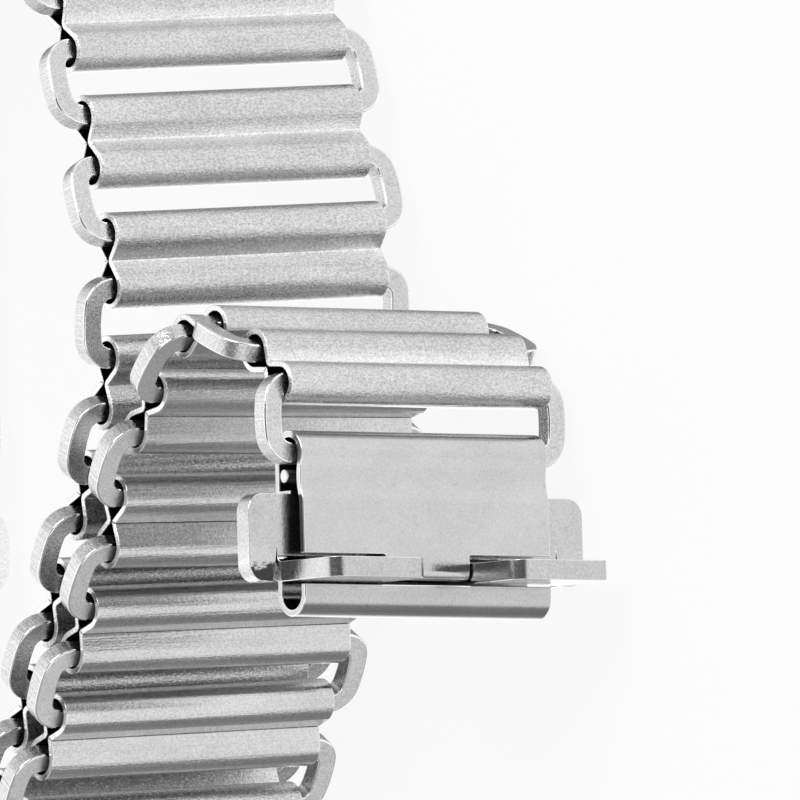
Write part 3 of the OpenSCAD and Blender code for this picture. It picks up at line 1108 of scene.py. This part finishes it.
def latch_rub_and_sheen(x, y, z):
    """The claws' bends, and the rims of their tip corners, worn smooth and painted paler
    as a painted sheen.
    """
    z = abs(z)
    bend = x > BEND_AT and -LATCH / 2 - TOUCH < y < BEND_MID + EDGE_ROOM
    at_side = min(abs(z - CLAW_IN), abs(z - CLAW_END)) < CLAW_R - EDGE_ROOM
    on_rim = abs(x - BEND_AT - BEND_MID) < LATCH / 2 - RIM_ROOM
    corner = y > CLAW_TIP - CLAW_R + TOUCH and at_side and on_rim
    return (bend or corner) and z > CLAW_IN - TOUCH


def make_latch():
    obj = sheet_object("latch_plate_sheet", bent_latch(), latch_finish)
    thicken(obj, LATCH)
    soften(obj, LATCH_WEAR, 4, edge_polish_and_highlight)
    shape = bake_mesh(obj, "latch")
    add_mark(shape, "rub_and_sheen", latch_rub_and_sheen)
    bpy.data.objects.remove(obj)
    inside = Matrix.Translation(Vector((0, LATCH_Y, 0)) * MM)
    finish_piece("bent_latch_plate", shape, "latch", ["latch_plate"],
                 place["clasp"] @ inside)
    print("latch of", len(shape.polygons), "faces")


make_latch()

# %% [markdown]
# ## Floor and light
# The band stands on its side edge on a pale floor. The floor shows the camera a near
# white, which the photograph's background is, and keeps some of its own shading so
# that the band's shadow stays. Every tube stands square to the floor, so each one would
# mirror it from end to end and look flat. Reflections therefore pass the floor by and
# see the room behind it.

# %% Make the floor
FLOOR_WHITE = 0.9
FLOOR_GREY = (0.86, 0.86, 0.86, 1)
FLOOR_ROUGH = 0.9
FLOOR_REACH = 1.5
WHITE = (1, 1, 1, 1)


def floor_finish():
    finish, tree, shader = new_finish("pale_floor")
    shader.inputs["Base Color"].default_value = FLOOR_GREY
    shader.inputs["Roughness"].default_value = FLOOR_ROUGH
    path = add_node(tree, "ShaderNodeLightPath")
    white = add_node(tree, "ShaderNodeEmission", {"Color": WHITE, "Strength": 1.0})
    seen = sums(tree, "MAXIMUM", path.outputs["Is Camera Ray"],
                path.outputs["Is Glossy Ray"])
    seen = sums(tree, "MAXIMUM", seen, path.outputs["Is Transmission Ray"])
    mixed = add_node(tree, "ShaderNodeMixShader",
                     {0: sums(tree, "MULTIPLY", seen, FLOOR_WHITE)})
    tree.links.new(shader.outputs["BSDF"], mixed.inputs[1])
    tree.links.new(white.outputs["Emission"], mixed.inputs[2])
    output = next(n for n in tree.nodes if n.type == "OUTPUT_MATERIAL")
    tree.links.new(mixed.outputs["Shader"], output.inputs["Surface"])
    return finish


def make_floor():
    low, reach = cad_box[0][2], FLOOR_REACH
    mesh = bpy.data.meshes.new("floor")
    corners = [(-reach, -reach, low), (reach, -reach, low), (reach, reach, low),
               (-reach, reach, low)]
    mesh.from_pydata(corners, [], [(0, 1, 2, 3)])
    mesh.materials.append(floor_finish())
    floor = bpy.data.objects.new("floor", mesh)
    scene.collection.objects.link(floor)
    floor.visible_glossy = False


make_floor()
print("floor at", round(cad_box[0][2], 4))

# %% [markdown]
# Polished tubes show the room more than the lamps. A studio for metal has pale walls
# with a few grey panels between them, because those panels draw the dark bands that
# make a tube look round. A picture of a real room could be wrapped round the scene, but
# a few numbers do the same and need no file. The brightness is given by compass
# bearing, in degrees from the X axis towards the Y axis: once for what lies below the
# horizon and once for the upper room, which is dark behind the camera.

# %% The walls that reflections see
LOW_ROOM = [(-180, 0.8), (-152, 1.7), (-132, 1.5), (-118, 0.4), (-90, 0.28),
            (-54, 0.36), (-42, 1.12), (-20, 1.15), (0, 1.1), (40, 1.15), (75, 1.15),
            (112, 1.05), (135, 0.5), (155, 0.25)]
HIGH_ROOM = [(-180, 1.5), (-120, 1.0), (-60, 0.4), (0, 0.12), (60, 0.15), (110, 0.6),
             (150, 1.2)]
HORIZON_LOW, HORIZON_HIGH = -0.05, 0.25


def room_ramp(tree, turn, room):
    """The room's brightness round the compass, as a ramp that closes on itself."""
    ramp = add_node(tree, "ShaderNodeValToRGB", {"Fac": turn})
    stops = ramp.color_ramp.elements
    stops.remove(stops[1])
    for i, (degrees, level) in enumerate(room + [(180, room[0][1])]):
        stop = stops[0] if i == 0 else stops.new((degrees + 180) / 360)
        stop.position = (degrees + 180) / 360
        stop.color = (level, level, level, 1)
    return ramp.outputs["Color"]


def room_walls(tree):
    """The colour that the world shows in a direction."""
    coords = add_node(tree, "ShaderNodeTexCoord")
    way = add_node(tree, "ShaderNodeSeparateXYZ", {"Vector": coords.outputs["Generated"]})
    bearing = sums(tree, "ARCTAN2", way.outputs["Y"], way.outputs["X"])
    turn = spread(tree, bearing, -math.pi, math.pi, 0.0, 1.0)
    upper = spread(tree, way.outputs["Z"], HORIZON_LOW, HORIZON_HIGH, 0.0, 1.0)
    walls = add_node(tree, "ShaderNodeMix", data_type="RGBA")
    # A Mix node's colour sockets share their names with others, so they go by number.
    tree.links.new(upper, walls.inputs[0])
    tree.links.new(room_ramp(tree, turn, LOW_ROOM), walls.inputs[6])
    tree.links.new(room_ramp(tree, turn, HIGH_ROOM), walls.inputs[7])
    return walls.outputs[2]


print("walls of", len(LOW_ROOM), "and", len(HIGH_ROOM), "bearings")

# %% [markdown]
# The world has three faces. Reflections see the walls, dull surfaces are lit by a plain
# grey of about the same strength, and the camera sees plain white, as does whatever
# lies behind something clear. So the background is white without any more light on the
# band.

# %% Make the room
ROOM_LEVEL = 0.5


def make_room():
    world = bpy.data.worlds.new("soft_room")
    scene.world = world
    world.use_nodes = True
    tree = world.node_tree
    tree.nodes.clear()
    path = add_node(tree, "ShaderNodeLightPath")
    mirrored = add_node(tree, "ShaderNodeBackground",
                        {"Color": room_walls(tree), "Strength": 1.0})
    plain = add_node(tree, "ShaderNodeBackground",
                     {"Color": WHITE, "Strength": ROOM_LEVEL})
    white = add_node(tree, "ShaderNodeBackground", {"Color": WHITE, "Strength": 1.0})
    lit = add_node(tree, "ShaderNodeMixShader", {0: path.outputs["Is Glossy Ray"]})
    tree.links.new(plain.outputs["Background"], lit.inputs[1])
    tree.links.new(mirrored.outputs["Background"], lit.inputs[2])
    seen = sums(tree, "MAXIMUM", path.outputs["Is Camera Ray"],
                path.outputs["Is Transmission Ray"])
    shown = add_node(tree, "ShaderNodeMixShader", {0: seen})
    tree.links.new(lit.outputs["Shader"], shown.inputs[1])
    tree.links.new(white.outputs["Background"], shown.inputs[2])
    output = add_node(tree, "ShaderNodeOutputWorld")
    tree.links.new(shown.outputs["Shader"], output.inputs["Surface"])


make_room()
print("plain light of", ROOM_LEVEL)

# %% [markdown]
# Two square soft lamps finish the light: a soft box above and in front, which casts the
# band's shadow on the floor, and a weak fill from the side. Both are large for their
# distance, because a small lamp would leave hard shadows and pinpoint glints.

# %% Hang the lamps
BAND_MIDDLE = Vector((0.024, 0.02, 0))


def make_light(name, towards, distance, size, power):
    """A square soft light that looks at the band's middle from a direction."""
    data = bpy.data.lights.new(name, "AREA")
    data.shape = "SQUARE"
    data.size = size
    data.energy = power
    light = bpy.data.objects.new(name, data)
    away = Vector(towards).normalized()
    light.location = BAND_MIDDLE + distance * away
    light.rotation_euler = away.to_track_quat("Z", "Y").to_euler()
    scene.collection.objects.link(light)


make_light("soft_box", (0.35, 0.75, 0.75), distance=0.5, size=0.35, power=1.6)
make_light("side_fill", (0.9, -0.35, 0.5), distance=0.6, size=0.3, power=0.4)

# %% [markdown]
# The dressed band must be as large as the imported one. Its colours are shown through
# the Standard view transform, and the frame then takes the finished scene over.

# %% Set the view transform and finish
scene.view_settings.view_transform = "Standard"
